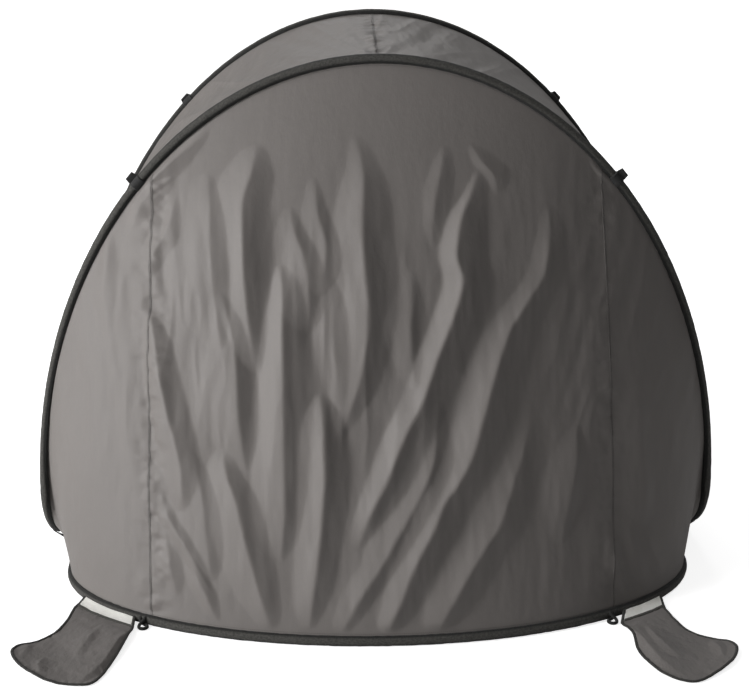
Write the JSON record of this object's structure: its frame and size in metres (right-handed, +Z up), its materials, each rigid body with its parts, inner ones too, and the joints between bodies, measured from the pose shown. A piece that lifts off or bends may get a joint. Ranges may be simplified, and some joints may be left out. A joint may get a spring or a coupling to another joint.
{
  "type": "pop-up sun shelter",
  "caption": "Open-fronted pop-up sun shelter of taupe polyester on crossed sprung hoops in dark sleeves, with a groundsheet, peg loops and rear sand pockets.",
  "frame": {"origin": "on the ground under the crossings of the two hoops, midway between them, at the underside of the groundsheet", "axes": "+Z up, open front towards -Y, rear wall towards +Y, +X to the left of someone who looks out of the front"},
  "size_m": [1.5019, 1.2376, 1.1855],
  "materials": {
    "hoop_sleeve": "dark woven polyester sleeve over a spring-steel hoop, matt",
    "wall_cloth": "taupe coated polyester taffeta with soft folds and a slight sheen",
    "groundsheet_cloth": "dark coated woven floor cloth, satin",
    "seam_tape": "lapped and stitched seam, matt",
    "pocket_cloth": "taupe coated polyester, creased",
    "binding": "black bias binding, matt",
    "tape": "off-white napped loop tape",
    "webbing": "black woven webbing"
  },
  "bodies": {
    "root": {"crossing_tie_left": "webbing", "crossing_tie_right": "webbing", "front_arch_sleeve": "hoop_sleeve", "front_arch_tab_left": "webbing", "front_arch_tab_right": "webbing", "front_floor_sleeve": "hoop_sleeve", "front_peg_loop_left": "webbing", "front_peg_loop_right": "webbing", "groundsheet": "groundsheet_cloth", "pocket_binding_left": "binding", "pocket_binding_right": "binding", "pocket_hem_left": "binding", "pocket_hem_right": "binding", "pocket_tape_left": "tape", "pocket_tape_right": "tape", "rear_arch_sleeve": "hoop_sleeve", "rear_arch_tab_left": "webbing", "rear_arch_tab_right": "webbing", "rear_floor_sleeve": "hoop_sleeve", "rear_gore_left": "wall_cloth", "rear_gore_right": "wall_cloth", "rear_peg_loop_left": "webbing", "rear_peg_loop_right": "webbing", "rear_seam_left": "seam_tape", "rear_seam_right": "seam_tape", "rear_wall": "wall_cloth", "roof_left": "wall_cloth", "roof_right": "wall_cloth", "roof_seam": "seam_tape", "sand_pocket_left": "pocket_cloth", "sand_pocket_right": "pocket_cloth"}
  },
  "joints": []
}
